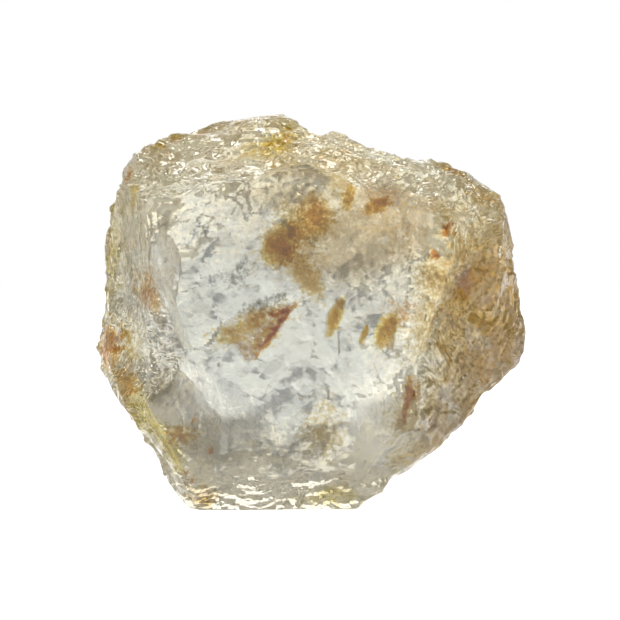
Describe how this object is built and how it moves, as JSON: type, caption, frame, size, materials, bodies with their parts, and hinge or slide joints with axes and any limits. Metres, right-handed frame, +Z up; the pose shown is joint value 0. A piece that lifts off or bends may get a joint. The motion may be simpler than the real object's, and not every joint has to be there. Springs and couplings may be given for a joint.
{
  "type": "polished quartz crystal",
  "caption": "Free-standing chunk of clear, honey-stained quartz with one polished window, broken ledged sides and a flat to stand on.",
  "frame": {"origin": "under the middle of the chunk's bounding box, on the plane of the flat that it rests on", "axes": "+X to the right when the polished window is faced, +Y from the window to the back, +Z up"},
  "size_m": [0.0866, 0.0504, 0.0777],
  "materials": {
    "quartz": "polished"
  },
  "bodies": {
    "root": {"quartz_crystal": "quartz"}
  },
  "joints": []
}
